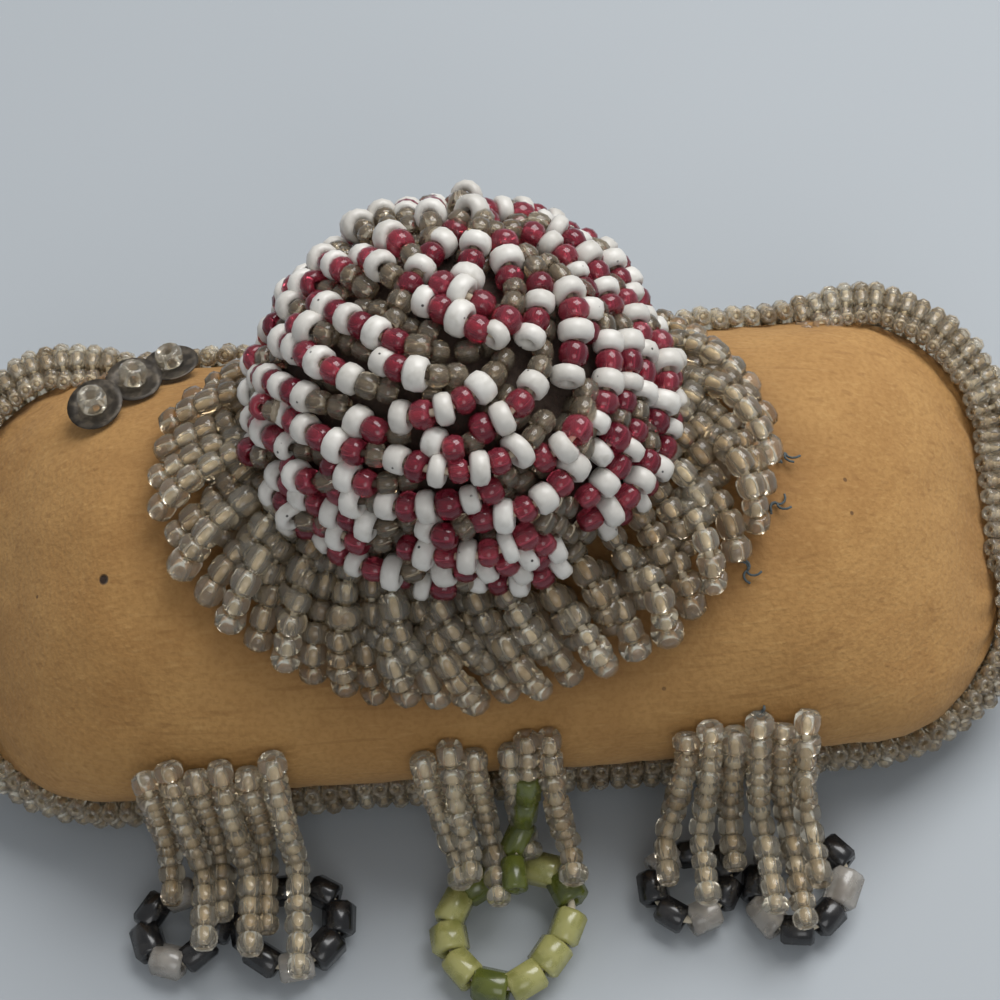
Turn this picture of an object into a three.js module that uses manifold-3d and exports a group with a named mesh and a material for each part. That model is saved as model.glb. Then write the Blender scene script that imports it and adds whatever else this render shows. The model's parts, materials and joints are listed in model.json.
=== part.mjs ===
// A beaded souvenir purse: a plump hide pouch that lies on its back, with a raised bead flower on its front,
// bead edging over its lips and seam, a sprig of sequins and three bead tassels.
// Millimetres, +Z up, +X along the purse.
import * as THREE from "three";
import { mergeVertices } from "three/addons/utils/BufferGeometryUtils.js";
import Module from "manifold-3d";

const wasm = await Module();
wasm.setup();

// Gap between pieces that are sewn or rest against each other
const seat = 0.35;

// Hide pouch: length along X, hide, corners of the seam outline and the run over which the ends round off
const pouchLength = 88;
const hideThickness = 1.2;
const cornerRadius = 12;
const endRound = 27;
const endSharpness = 2.4;

// Outside of the front panel's middle section: three arcs.
// Angles are the outward normal's, 0 to the near side and 90 up.
const crownY = -6;
const crownZ = 30;
const crownNormal = 84;
const crownRadius = 21.75;
const crownArc = 20.5;
const bellyRadius = 10.6;
const bellyArc = 16.3;
const farRadius = 20.5;
const farArc = 21.8;

// Back panel's middle section: slope off the seam, flat rest on the floor, heel of the far wall and the mouth
const backSlope = 30;
const restLength = 13.5;
const landingLength = 2.5;
const heelReach = 11;
const mouthGape = 12.5;
const mouthHalf = 29;
const lipWedge = 0.5;

// Bead edging: one bump for each sewn row, and how much further off the hide the rows over the seam keep
const edgingRadius = 2;
const edgingRow = 4;
const seamSlack = 0.2;

// Flower: ruff of clear lanes, domed pad and whorl of bead strands
const ruffHalfLength = 25;
const ruffNear = 19.6;
const ruffFar = 19.6;
const ruffNeck = 0.52;
const ruffLanes = 40;
const ruffBead = 2.3;
const ruffBeads = 3;
const laneGroove = 0.42;
const laneEnd = 0.965;
const domeMiddle = 3;
const domeHalfLength = 16.8;
const domeHalfWidth = 13;
const domeRise = 14.4;
const padNeck = 0.47;
const padRim = 92;
const roseBead = 2.5;
const rosePitch = 1.85;

// Whorl of the flower, ring by ring from its rim: strands in the ring, beads on each strand,
// where the strands start in degrees from the top of the dome, and how far they lean in from the ring there
const roseRings = [
  { strands: 16, beads: 5, start: 88, lean: 36 },
  { strands: 13, beads: 5, start: 59, lean: 32 },
  { strands: 7, beads: 4, start: 33, lean: 24 },
  { strands: 3, beads: 2, start: 11.5, lean: 20 },
];

// Strings of beads: share of the radius that is left between two beads
const beadNeck = 0.72;

// Sprig: three sequins in a row towards the ruff, each under one bead
const sequinDiameter = 4;
const sequinThickness = 0.4;
const sequinBead = 2.2;
const sequinHole = 0.8;
const sprigStart = { x: -30.6, along: 9.6 };
const sprigStep = { x: 3.1, along: 3.4 };

// Tassels: strings of clear beads that fall from the belly and end on a loop of large cut beads.
// A loop has half a length away from the purse and half a width along it, wider on the outer tassels.
const tasselPlaces = { left: -22.4, middle: 0, right: 20.5 };
const tasselRoot = -22.2;
const tasselStrings = 5;
const tasselBead = 2.3;
const tasselStringStep = 2.2;
const tasselRow = 3.6;
const tasselSweep = 3.2;
const tasselBend = 5;
const tasselPinch = 0.8;
const floorGap = 0.3;
const loopBead = 3.6;
const loopPitch = 4.6;
const loopHalfLength = 5.2;
const loopHalfWidths = { left: 7.2, middle: 5.2, right: 7.2 };

const UP = new THREE.Vector3(0, 0, 1);
const radians = THREE.MathUtils.degToRad;

// Closed solid from a grid of points. Rows run along the piece, each row is a closed ring of points,
// and the first and last rows are closed by caps, or joined to each other where the piece runs round.
function loft(rows, { closed = false, cap = fanCap } = {}) {
  const count = rows[0].length;
  const corners = [];
  const last = closed ? rows.length : rows.length - 1;
  for (let i = 0; i < last; i++) {
    const here = rows[i];
    const next = rows[(i + 1) % rows.length];
    for (let j = 0; j < count; j++) {
      const k = (j + 1) % count;
      corners.push(here[j], here[k], next[k], here[j], next[k], next[j]);
    }
  }
  if (!closed) corners.push(...cap(rows[0]).reverse(), ...cap(rows.at(-1)));
  return solidGeometry(corners);
}

function fanCap(ring) {
  const corners = [];
  for (let j = 1; j + 1 < ring.length; j++) corners.push(ring[0], ring[j], ring[j + 1]);
  return corners;
}

// Cap of a thin wall: the ring goes out along one face and back along the other.
function wallCap(ring) {
  const corners = [];
  const half = ring.length / 2;
  for (let j = 0; j + 1 < half; j++) {
    const back = ring.length - 1 - j;
    corners.push(ring[j], ring[j + 1], ring[back - 1], ring[j], ring[back - 1], ring[back]);
  }
  return corners;
}

// Merges the corners of loose triangles, drops those that closed up at a pole, and turns the faces outwards.
function solidGeometry(corners) {
  const positions = new Float32Array(corners.flatMap((p) => [p.x, p.y, p.z]));
  const loose = new THREE.BufferGeometry();
  loose.setAttribute("position", new THREE.BufferAttribute(positions, 3));
  const merged = mergeVertices(loose, 1e-4);
  const index = [...merged.index.array];
  const kept = [];
  let volume = 0;
  const at = (i) => new THREE.Vector3().fromBufferAttribute(merged.attributes.position, i);
  for (let i = 0; i < index.length; i += 3) {
    const [a, b, c] = index.slice(i, i + 3);
    if (a === b || b === c || c === a) continue;
    kept.push(a, b, c);
    volume += at(a).dot(at(b).cross(at(c)));
  }
  if (volume < 0) kept.reverse();
  merged.setIndex(kept);
  return merged;
}

// Joins closed geometries into one solid.
function join(geometries) {
  const solids = geometries.map((geometry) => {
    const vertProperties = geometry.attributes.position.array;
    const triVerts = new Uint32Array(geometry.index.array);
    return new wasm.Manifold(new wasm.Mesh({ numProp: 3, vertProperties, triVerts }));
  });
  const mesh = wasm.Manifold.union(solids).getMesh();
  const joined = new THREE.BufferGeometry();
  joined.setAttribute("position", new THREE.BufferAttribute(mesh.vertProperties, 3));
  joined.setIndex(new THREE.BufferAttribute(mesh.triVerts, 1));
  return joined;
}

// A string of beads: rings of points round a path, wide at each bead's middle and narrow between beads.
// Each stop on the path has a point, and an outward direction that keeps the rings from twisting.
function beadString(stops, radius, sides) {
  const rows = stops.map(({ point, out }, i) => {
    const ahead = stops[Math.min(i + 1, stops.length - 1)].point;
    const behind = stops[Math.max(i - 1, 0)].point;
    const run = ahead.clone().sub(behind).normalize();
    const side = run.clone().cross(out).normalize();
    const rise = side.clone().cross(run);
    return ringAt(point, rise, side, i % 2 ? radius : radius * beadNeck, sides);
  });
  return loft(rows);
}

function ringAt(centre, first, second, radius, sides) {
  return Array.from({ length: sides }, (_, j) => {
    const angle = (2 * Math.PI * j) / sides;
    return centre
      .clone()
      .addScaledVector(first, radius * Math.cos(angle))
      .addScaledVector(second, radius * Math.sin(angle));
  });
}

// Points at equal steps from first to last.
function steps(count, first, last) {
  return Array.from({ length: count + 1 }, (_, i) => first + ((last - first) * i) / count);
}

// Front section: the point inside the hide, so far along its outside from the flower's middle.
// Distances are positive towards the mouth.
const normalAt = (degrees) => new THREE.Vector2(-Math.cos(radians(degrees)), Math.sin(radians(degrees)));
const crownPoint = new THREE.Vector2(crownY, crownZ);
const bellyNormal = crownNormal - THREE.MathUtils.radToDeg(crownArc / crownRadius);
const farCentre = crownPoint.clone().addScaledVector(normalAt(crownNormal), -farRadius);
const crownCentre = crownPoint.clone().addScaledVector(normalAt(crownNormal), -crownRadius);
const bellyCentre = crownCentre.clone().addScaledVector(normalAt(bellyNormal), crownRadius - bellyRadius);

function frontSection(along) {
  const arcTo = (centre, radius, from, length) => {
    const normal = from + THREE.MathUtils.radToDeg(length / radius);
    return centre.clone().addScaledVector(normalAt(normal), radius - hideThickness);
  };
  if (along >= 0) return arcTo(farCentre, farRadius, crownNormal, along);
  if (along >= -crownArc) return arcTo(crownCentre, crownRadius, crownNormal, along);
  return arcTo(bellyCentre, bellyRadius, bellyNormal, along + crownArc);
}

const lipAlong = farArc;
const seamAlong = -(crownArc + bellyArc);
const lipPoint = frontSection(lipAlong);
const seamPoint = frontSection(seamAlong);

// Back section, inside: from the seam down to the floor, flat on it, and up the far wall to the front lip
const slopeFoot = seamPoint.x + (seamPoint.y - hideThickness) / Math.tan(radians(backSlope));
const restStart = slopeFoot + landingLength;
const restEnd = restStart + restLength;
const backPath = new THREE.Path()
  .moveTo(seamPoint.x, seamPoint.y)
  .quadraticCurveTo(slopeFoot, hideThickness, restStart, hideThickness)
  .lineTo(restEnd, hideThickness)
  .quadraticCurveTo(restEnd + heelReach, hideThickness, lipPoint.x, lipPoint.y);
const backLength = backPath.getLength();
const backSection = (along) => backPath.getPointAt(THREE.MathUtils.clamp(along / backLength, 0, 1));

// The seam's plane holds the outline of the purse. Towards the ends the sections close in on it.
const seamMiddle = lipPoint.clone().add(seamPoint).multiplyScalar(0.5);
const seamRun = lipPoint.clone().sub(seamPoint).normalize();
const seamOut = new THREE.Vector2(-seamRun.y, seamRun.x);
const seamHalf = lipPoint.distanceTo(seamPoint) / 2;
const halfLength = pouchLength / 2;
const cornerStart = halfLength - cornerRadius;

function atStation(x, sectionPoint, side) {
  const rel = sectionPoint.clone().sub(seamMiddle);
  const turned = Math.max(0, Math.abs(x) - cornerStart);
  const drop = cornerRadius - Math.sqrt(Math.max(0, cornerRadius ** 2 - turned ** 2));
  const outline = 1 - drop / seamHalf;
  const ending = Math.max(0, Math.abs(x) - (halfLength - endRound)) / endRound;
  const fullness = 1 - ending ** endSharpness;
  const flat = seamMiddle.clone().addScaledVector(seamRun, rel.dot(seamRun) * outline);
  flat.addScaledVector(seamOut, rel.dot(seamOut) * fullness + (side * (1 - fullness) * seat) / 2);
  return new THREE.Vector3(x, flat.x, flat.y);
}

// Point on the inside of a panel, with its outward normal
function onPanel(section, side, x, along) {
  const near = (value, limit) => THREE.MathUtils.clamp(value, -limit, limit);
  const step = 0.02;
  const spot = (px, pa) => atStation(px, section(pa), side);
  const acrossX = spot(near(x + step, halfLength), along).sub(spot(near(x - step, halfLength), along));
  const alongHide = spot(x, along + step).sub(spot(x, along - step));
  const normal = acrossX.cross(alongHide).normalize().multiplyScalar(side);
  return { point: spot(x, along), normal };
}
const onFront = (x, along) => onPanel(frontSection, 1, x, along);
const onBack = (x, along) => onPanel(backSection, -1, x, along);

// Point at a height over the outside of the front panel
function overFront(x, along, height) {
  const { point, normal } = onFront(x, along);
  return point.addScaledVector(normal, hideThickness + height);
}

const stations = steps(16, -90, 90).map((turn) => halfLength * Math.sin(radians(turn)));

// A hide panel: each station is a thin strip, its inside and, one thickness out, its outside.
function panel(onSide, limits, count) {
  const rows = stations.map((x) => {
    const [from, to] = limits(x);
    const strip = steps(count, from, to).map((along) => onSide(x, along));
    const outside = strip.map(({ point, normal }) => point.clone().addScaledVector(normal, hideThickness));
    return [...strip.map(({ point }) => point), ...outside.reverse()];
  });
  return loft(rows, { cap: wallCap });
}

// The back lip is scooped out below the front lip, and meets it at the mouth's corners.
const gape = (x) => mouthGape * Math.sqrt(Math.max(0, 1 - (x / mouthHalf) ** 4));
const backLip = (x) => backLength - gape(x) - hideThickness * lipWedge;
const frontPanel = () => panel(onFront, () => [seamAlong + seat / 2, lipAlong - seat / 2], 12);
const backPanel = () => panel(onBack, (x) => [seat / 2, backLip(x) - seat / 2], 9);

// Edging: a roll of bead rows along an edge of the hide, just off it
function edging(edge, length) {
  const rows = 2 * Math.round(length / edgingRow);
  const stops = steps(rows, 0, 1).map((share) => {
    const { point, outward, across } = edge(share);
    return { point: point.addScaledVector(outward, seat + edgingRadius), out: across };
  });
  return beadString(stops, edgingRadius, 5);
}

// Along a lip the rows stand on the outer corner of the cut edge, and wrap from the hide round its end.
function lipEdge(onSide, lip, x) {
  const { point, normal } = onSide(x, lip(x));
  const inner = onSide(x, lip(x) - 1).point;
  const end = point.clone().sub(inner).projectOnPlane(normal).normalize();
  const outward = end.add(normal).normalize();
  return { point: point.addScaledVector(normal, hideThickness), outward, across: normal };
}

// The lips' rolls stop short of the mouth's corners, the back one where the gape still has room for both.
const lipRoll = (seat + edgingRadius) * Math.SQRT1_2 + edgingRadius;
const twoRolls = 2 * lipRoll + seat;
const frontRollEnd = mouthHalf - edgingRadius - seat;
const backRollEnd = mouthHalf * Math.sqrt(Math.sqrt(Math.max(0, 1 - (twoRolls / mouthGape) ** 2)));

// Round the ends and the bottom the rows lie over the seam, from one corner of the mouth to the other.
const cornerRun = (Math.PI / 2) * cornerRadius;
const sideRun = 2 * (seamHalf - cornerRadius);
const topRun = cornerStart - mouthHalf;
const halfSeam = cornerStart + 2 * cornerRun + sideRun + topRun;

function seamEdge(share) {
  const run = (2 * share - 1) * halfSeam;
  const { x, across } = seamStation(Math.abs(run));
  return onSeam(x * Math.sign(run), across);
}

// Place on the seam's outline at a distance from the middle of the bottom
function seamStation(run) {
  const past = run - cornerStart;
  if (past <= 0) return { x: run, across: -seamHalf };
  if (past <= cornerRun) return cornerSpot(past / cornerRun, -1);
  const side = past - cornerRun;
  if (side <= sideRun) return { x: halfLength, across: side - sideRun / 2 };
  const high = side - sideRun;
  if (high <= cornerRun) return cornerSpot(1 - high / cornerRun, 1);
  return { x: cornerStart - (high - cornerRun), across: seamHalf };
}

function cornerSpot(share, way) {
  const angle = (Math.PI / 2) * share;
  const x = cornerStart + cornerRadius * Math.sin(angle);
  return { x, across: way * (seamHalf - cornerRadius + cornerRadius * Math.cos(angle)) };
}

// Point on the outside of the seam, and the direction off it: half way between the two panels' normals
function onSeam(x, across) {
  const flat = seamMiddle.clone().addScaledVector(seamRun, across);
  const outward = new THREE.Vector3(Math.sign(x), 0, 0);
  if (Math.abs(across) > sideRun / 2) {
    const onTop = across > 0;
    const front = onFront(x, onTop ? lipAlong : seamAlong).normal;
    const back = onBack(x, onTop ? backLength : 0).normal;
    outward.addVectors(front, back).normalize();
  }
  const point = new THREE.Vector3(x, flat.x, flat.y).addScaledVector(outward, hideThickness + seamSlack);
  return { point, outward, across: new THREE.Vector3(0, seamOut.x, seamOut.y) };
}

// The flower lies on the hide: a turn round its middle and a share of its reach give a place there.
function onRuff(turnAngle, share, height) {
  const reach = Math.sin(turnAngle) > 0 ? ruffFar : ruffNear;
  const x = ruffHalfLength * share * Math.cos(turnAngle);
  return overFront(x, reach * share * Math.sin(turnAngle), height);
}

// Ruff: lanes of clear beads side by side in one ring, round beads along each lane and grooves between lanes
function ruff() {
  const columns = steps(2 * ruffLanes, 0, 2 * Math.PI).slice(0, -1);
  const topSteps = 2 * ruffBeads;
  const rows = columns.map((turnAngle, i) => {
    const lane = i % 2 === 0;
    const outer = lane ? 1 : laneEnd;
    const under = steps(2, ruffNeck, outer).map((share) => onRuff(turnAngle, share, seat));
    const top = steps(topSteps, outer, ruffNeck).map((share, j) => {
      const bead = j % 2 ? 1 : beadNeck;
      return onRuff(turnAngle, share, seat + ruffBead * (lane ? bead : laneGroove));
    });
    return [...under, ...top];
  });
  return loft(rows, { closed: true });
}

// Dome of the flower: polar angle from its top, turn round it, and inset from the strands' threads
const domeBase = seat + ruffBead + seat + roseBead / 2;
function onDome(polar, turnAngle, inset) {
  const x = (domeHalfLength - inset) * Math.sin(polar) * Math.cos(turnAngle);
  const along = domeMiddle + (domeHalfWidth - inset) * Math.sin(polar) * Math.sin(turnAngle);
  return overFront(x, along, domeBase + (domeRise - inset) * Math.cos(polar));
}

// Pad: a mushroom of stuffing that stands inside the ruff and swells out over it under the strands
function pad() {
  const inset = roseBead / 2;
  const brim = seat + ruffBead + seat;
  const columns = steps(22, 0, 2 * Math.PI).slice(0, -1);
  const rows = columns.map((turnAngle) => {
    const neck = steps(2, 0, padNeck).map((share) => onRuff(turnAngle, share, seat));
    const throat = onRuff(turnAngle, padNeck, brim);
    const cap = steps(5, radians(padRim), 0).map((polar) => onDome(polar, turnAngle, inset));
    return [...neck, throat, ...cap];
  });
  return loft(rows, { closed: true });
}

// One strand of the whorl: it runs in from its start and keeps one distance from the next strand of its ring.
function roseStrand({ beads, start, lean }, startTurn) {
  const reach = (domeHalfLength + domeHalfWidth) / 2;
  const step = rosePitch / 2;
  let polar = radians(start);
  let turnAngle = startTurn;
  const core = reach * Math.sin(polar) * Math.sin(radians(lean));
  const stops = steps(2 * beads, 0, 2 * beads).map(() => {
    const point = onDome(polar, turnAngle, 0);
    const out = point.clone().sub(onDome(polar, turnAngle, 1));
    const ringRadius = reach * Math.sin(polar);
    const inward = Math.min(1, core / ringRadius);
    turnAngle += (Math.sqrt(1 - inward ** 2) * step) / ringRadius;
    polar -= (inward * step) / reach;
    return { point, out };
  });
  return beadString(stops, roseBead / 2, 5);
}

// A sequin is a thin stamped cup with a hole, and its bead a short drilled barrel.
function sequin() {
  const edge = sequinDiameter / 2;
  const cup = sequinThickness * 0.6;
  const profile = [
    [sequinHole / 2, 0],
    [edge * 0.55, 0],
    [edge, cup],
    [edge, cup + sequinThickness],
    [edge * 0.5, sequinThickness],
    [sequinHole / 2, sequinThickness],
  ];
  return turned(profile, 7);
}

function drilledBead(diameter, hole) {
  const edge = diameter / 2;
  const height = diameter * 0.7;
  const profile = [
    [hole / 2, 0],
    [edge * 0.75, 0],
    [edge, height * 0.3],
    [edge, height * 0.7],
    [edge * 0.75, height],
    [hole / 2, height],
  ];
  return turned(profile, 6);
}

// Revolves a profile of radius and height about Z.
function turned(profile, sides) {
  const angles = steps(sides, 0, 2 * Math.PI).slice(0, -1);
  const rows = angles.map((angle) => {
    return profile.map(([r, z]) => new THREE.Vector3(r * Math.cos(angle), r * Math.sin(angle), z));
  });
  return loft(rows, { closed: true });
}

// Tassel: where its strings leave the hide, and where they end on top of the loop
const stringRadius = tasselBead / 2;
const nearmost = bellyCentre.x - bellyRadius - seat - stringRadius;
const rootHeight = frontSection(tasselRoot).y;
const loopTop = floorGap + loopBead + seat;
const stringEnd = new THREE.Vector2(nearmost - tasselSweep, loopTop + stringRadius);

// One string: straight down from its root, then swept out to rest on the loop, drawn in towards its middle
function tasselString(middle, offset) {
  const fall = new THREE.Path()
    .moveTo(nearmost, rootHeight)
    .lineTo(nearmost, stringEnd.y + tasselBend)
    .quadraticCurveTo(nearmost, stringEnd.y, stringEnd.x, stringEnd.y);
  const beads = Math.round(fall.getLength() / tasselRow);
  const stops = steps(2 * beads, 0, 1).map((share) => {
    const spot = fall.getPointAt(share);
    const drawn = 1 - (1 - tasselPinch) * share;
    const point = new THREE.Vector3(middle + offset * drawn, spot.x, spot.y);
    return { point, out: new THREE.Vector3(1, 0, 0) };
  });
  return beadString(stops, stringRadius, 5);
}

function tasselStringsAt(middle) {
  const half = (tasselStrings - 1) / 2;
  const offsets = steps(tasselStrings - 1, -half, half).map((i) => i * tasselStringStep);
  return join(offsets.map((offset) => tasselString(middle, offset)));
}

// Loop of large beads that lies flat on the floor, its far side under the ends of the strings
function tasselLoop(middle, halfWidth) {
  const radius = loopBead / 2;
  const oval = new THREE.EllipseCurve(middle, stringEnd.x - loopHalfLength, halfWidth, loopHalfLength);
  const beads = Math.round(oval.getLength() / loopPitch);
  const rows = steps(3 * beads, 0, 1).slice(0, -1).map((share, i) => {
    const spot = oval.getPointAt(share);
    const run = oval.getTangentAt(share);
    const point = new THREE.Vector3(spot.x, spot.y, floorGap + radius);
    const outward = new THREE.Vector3(run.y, -run.x, 0);
    return ringAt(point, outward, UP, i % 3 ? radius : radius * beadNeck, 6);
  });
  return loft(rows, { closed: true });
}

const purse = new THREE.Group();

function add(name, geometry, color, roughness, metalness = 0) {
  const material = new THREE.MeshStandardMaterial({ color, roughness, metalness, flatShading: true });
  const mesh = new THREE.Mesh(geometry, material);
  mesh.name = name;
  purse.add(mesh);
  return mesh;
}

const hideColour = 0xb08748;
const clearColour = 0x9a9183;
const roseColours = [0x7d1838, 0xe6e2dc];

add("front_panel", frontPanel(), hideColour, 0.85);
add("back_panel", backPanel(), hideColour, 0.85);

const frontLipEdge = (share) => lipEdge(onFront, () => lipAlong, frontRollEnd * (2 * share - 1));
const backLipEdge = (share) => lipEdge(onBack, backLip, backRollEnd * (2 * share - 1));
add("front_lip_edging", edging(frontLipEdge, 2 * frontRollEnd), clearColour, 0.3);
add("back_lip_edging", edging(backLipEdge, 2 * backRollEnd), clearColour, 0.3);
add("seam_edging", edging(seamEdge, 2 * halfSeam), clearColour, 0.3);

add("flower_ruff", ruff(), clearColour, 0.3);
add("flower_pad", pad(), 0x6b5a48, 0.9);

roseRings.forEach((ring, tier) => {
  for (let i = 0; i < ring.strands; i++) {
    const geometry = roseStrand(ring, (2 * Math.PI * (i + tier / 3)) / ring.strands);
    const name = `rose_strand_${tier + 1}_${String(i + 1).padStart(2, "0")}`;
    add(name, geometry, roseColours[(i + tier) % 2], 0.35);
  }
});

for (let i = 0; i < 3; i++) {
  const place = [sprigStart.x + i * sprigStep.x, sprigStart.along + i * sprigStep.along];
  const { normal } = onFront(...place);
  const sprigPieces = [
    ["sequin", sequin(), 0x3a3530, 0.5, 0.8, seat],
    ["sequin_bead", drilledBead(sequinBead, sequinHole), clearColour, 0.3, 0, 2 * seat + sequinThickness],
  ];
  for (const [name, geometry, color, roughness, metalness, height] of sprigPieces) {
    const mesh = add(`${name}_${i + 1}`, geometry, color, roughness, metalness);
    mesh.quaternion.setFromUnitVectors(UP, normal);
    mesh.position.copy(overFront(...place, height));
  }
}

const loopColours = { left: 0x1d1c1a, middle: 0x8f9a4c, right: 0x1d1c1a };
for (const [side, middle] of Object.entries(tasselPlaces)) {
  add(`${side}_tassel_strings`, tasselStringsAt(middle), clearColour, 0.3);
  add(`${side}_tassel_loop`, tasselLoop(middle, loopHalfWidths[side]), loopColours[side], 0.3);
}

export default purse;
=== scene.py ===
import json
import math
import random
from bisect import bisect_left

import bmesh
import bpy
from mathutils import Matrix, Vector, kdtree, noise


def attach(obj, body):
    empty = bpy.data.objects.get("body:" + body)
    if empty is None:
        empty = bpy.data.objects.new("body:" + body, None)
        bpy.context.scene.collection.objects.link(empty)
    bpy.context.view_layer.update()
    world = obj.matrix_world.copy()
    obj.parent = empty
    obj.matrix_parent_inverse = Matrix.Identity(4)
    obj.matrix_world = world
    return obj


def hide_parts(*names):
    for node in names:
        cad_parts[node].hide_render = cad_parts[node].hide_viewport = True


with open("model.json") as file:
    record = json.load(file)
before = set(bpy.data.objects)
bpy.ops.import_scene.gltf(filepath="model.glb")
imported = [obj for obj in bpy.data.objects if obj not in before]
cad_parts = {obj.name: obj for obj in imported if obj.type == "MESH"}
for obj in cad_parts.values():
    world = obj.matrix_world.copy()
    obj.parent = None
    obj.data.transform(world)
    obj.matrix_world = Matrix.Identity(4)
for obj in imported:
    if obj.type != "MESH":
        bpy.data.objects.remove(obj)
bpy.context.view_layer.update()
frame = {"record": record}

# Camera: it looks down on the purse from its near side, square to its length, and leans a little so that the right
# end of the purse stands higher in the picture. The middle of the flower lies left of and above the picture's middle.
scene = bpy.context.scene
scene.view_settings.view_transform = "Standard"
flower_middle = Vector((0, -0.006, 0.030))
down, lean, reach = math.radians(55), math.radians(4.5), 0.160
pixel = 0.001 / 12.5
flower_left, flower_above = 33 * pixel, 36 * pixel
forward = Vector((0, math.cos(down), -math.sin(down)))
level_up = Vector((1, 0, 0)).cross(forward)
image_right = Vector((1, 0, 0)) * math.cos(lean) - level_up * math.sin(lean)
image_up = Vector((1, 0, 0)) * math.sin(lean) + level_up * math.cos(lean)
target = flower_middle + image_right * flower_left - image_up * flower_above
camera = bpy.data.objects.new("camera", bpy.data.cameras.new("camera"))
camera.data.lens = 72
camera.data.clip_start = 0.01
camera.matrix_world = Matrix.Translation(target - forward * reach) @ Matrix(
    (image_right, image_up, -forward)).transposed().to_4x4()
scene.collection.objects.link(camera)
scene.camera = camera

# Studio: a pale blue-grey table under a wide soft lamp from above on the far right, and a weaker lamp from the near
# side. Nothing else is lit or shown.


def lamp(name, place, aim, size, power):
    light = bpy.data.lights.new(name, "AREA")
    light.energy, light.size = power, size
    holder = bpy.data.objects.new(name, light)
    holder.location = place
    holder.rotation_euler = (Vector(aim) - Vector(place)).to_track_quat("-Z", "Y").to_euler()
    scene.collection.objects.link(holder)


class Num:
    """A shader socket that takes part in sums with other sockets and numbers."""

    def __init__(self, tree, socket):
        self.tree, self.socket = tree, socket

    def maths(self, kind, *terms):
        node = self.tree.nodes.new("ShaderNodeMath")
        node.operation = kind
        for slot, term in zip(node.inputs, terms):
            if isinstance(term, Num):
                self.tree.links.new(term.socket, slot)
            else:
                slot.default_value = term
        return Num(self.tree, node.outputs[0])

    def __add__(self, other):
        return self.maths("ADD", self, other)

    def __sub__(self, other):
        return self.maths("SUBTRACT", self, other)

    def __rsub__(self, other):
        return self.maths("SUBTRACT", other, self)

    def __mul__(self, other):
        return self.maths("MULTIPLY", self, other)

    def ramp(self, low, high):
        """0 up to low, 1 from high on, and smooth between."""
        node = self.tree.nodes.new("ShaderNodeMapRange")
        node.interpolation_type = "SMOOTHSTEP"
        node.inputs["From Min"].default_value = low
        node.inputs["From Max"].default_value = high
        self.tree.links.new(self.socket, node.inputs["Value"])
        return Num(self.tree, node.outputs["Result"])

    __radd__, __rmul__ = __add__, __mul__


class Paint:
    """A material with one principled shader. Constant inputs go on the shader, the rest through nodes."""

    def __init__(self, name, **constants):
        self.material = bpy.data.materials.new(name)
        self.material.use_nodes = True
        self.tree = self.material.node_tree
        self.shader = self.tree.nodes["Principled BSDF"]
        for key, value in constants.items():
            self.shader.inputs[key.replace("_", " ").title().replace("Ior", "IOR")].default_value = value

    def node(self, kind, output, settings=None, **sockets):
        made = self.tree.nodes.new("ShaderNode" + kind)
        for key, value in (settings or {}).items():
            setattr(made, key, value)
        for key, value in sockets.items():
            slot = made.inputs[int(key[1:]) if key[0] == "_" else key.replace("_", " ")]
            if isinstance(value, Num):
                self.tree.links.new(value.socket, slot)
            else:
                slot.default_value = value
        return Num(self.tree, made.outputs[output])

    def place(self):
        return self.node("TexCoord", "Object")

    def stretched(self, *scale):
        return self.node("Mapping", 0, Vector=self.place(), Scale=scale)

    def noise(self, scale, detail=3, where=None):
        return self.node("TexNoise", 0, Vector=where or self.place(), Scale=scale, Detail=detail)

    def attribute(self, name):
        return self.node("Attribute", "Fac", {"attribute_name": name})

    def mix(self, share, first, second):
        def colour(value):
            return value if isinstance(value, Num) else (*value, 1)
        return self.node("Mix", 2, {"data_type": "RGBA"}, _0=share, _6=colour(first), _7=colour(second))

    def set(self, socket, value):
        self.tree.links.new(value.socket, self.shader.inputs[socket])
        return self

    def bump(self, height, distance, strength=1.0):
        normal = self.node("Bump", 0, Height=height, Distance=distance, Strength=strength)
        return self.set("Normal", normal)


table_half = 3
table_paint = Paint("table", roughness=0.7)
table_cloud = table_paint.noise(9)
table_paint.set("Base Color", table_paint.mix(table_cloud, (0.415, 0.448, 0.475), (0.45, 0.483, 0.51)))
table_mesh = bpy.data.meshes.new("table")
bm = bmesh.new()
bmesh.ops.create_grid(bm, x_segments=4, y_segments=4, size=table_half)
bm.to_mesh(table_mesh)
bm.free()
table_mesh.materials.append(table_paint.material)
table = bpy.data.objects.new("table", table_mesh)
scene.collection.objects.link(table)
world = bpy.data.worlds.new("studio")
world.use_nodes = True
sky = world.node_tree.nodes["Background"]
sky.inputs["Color"].default_value = (0.94, 0.965, 1.0, 1)
sky.inputs["Strength"].default_value = 0.33
scene.world = world
lamp_aim = (0, 0, 0.02)
lamp("overhead", place=(0.20, 0.22, 0.50), aim=lamp_aim, size=0.40, power=2.9)
lamp("near", place=(0.05, -0.50, 0.42), aim=lamp_aim, size=0.30, power=0.5)

# Front hide: one panel of smoked hide, napped side out, that swells from the seam over the stuffing to the mouth's
# lip. It is worked from three arcs across the purse, and towards each end the section closes in on the plane of the
# seam.
hide = 1.2
seat = 0.35
half_length, corner, end_round, end_power = 44, 12, 27, 2.4
crown_arc, belly_arc, far_arc = 20.5, 16.3, 21.8
crown_radius, belly_radius, far_radius = 21.75, 10.6, 20.5
crown_normal = 84
belly_normal = crown_normal - math.degrees(crown_arc / crown_radius)


def facing(degrees):
    return Vector((-math.cos(math.radians(degrees)), math.sin(math.radians(degrees))))


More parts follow.
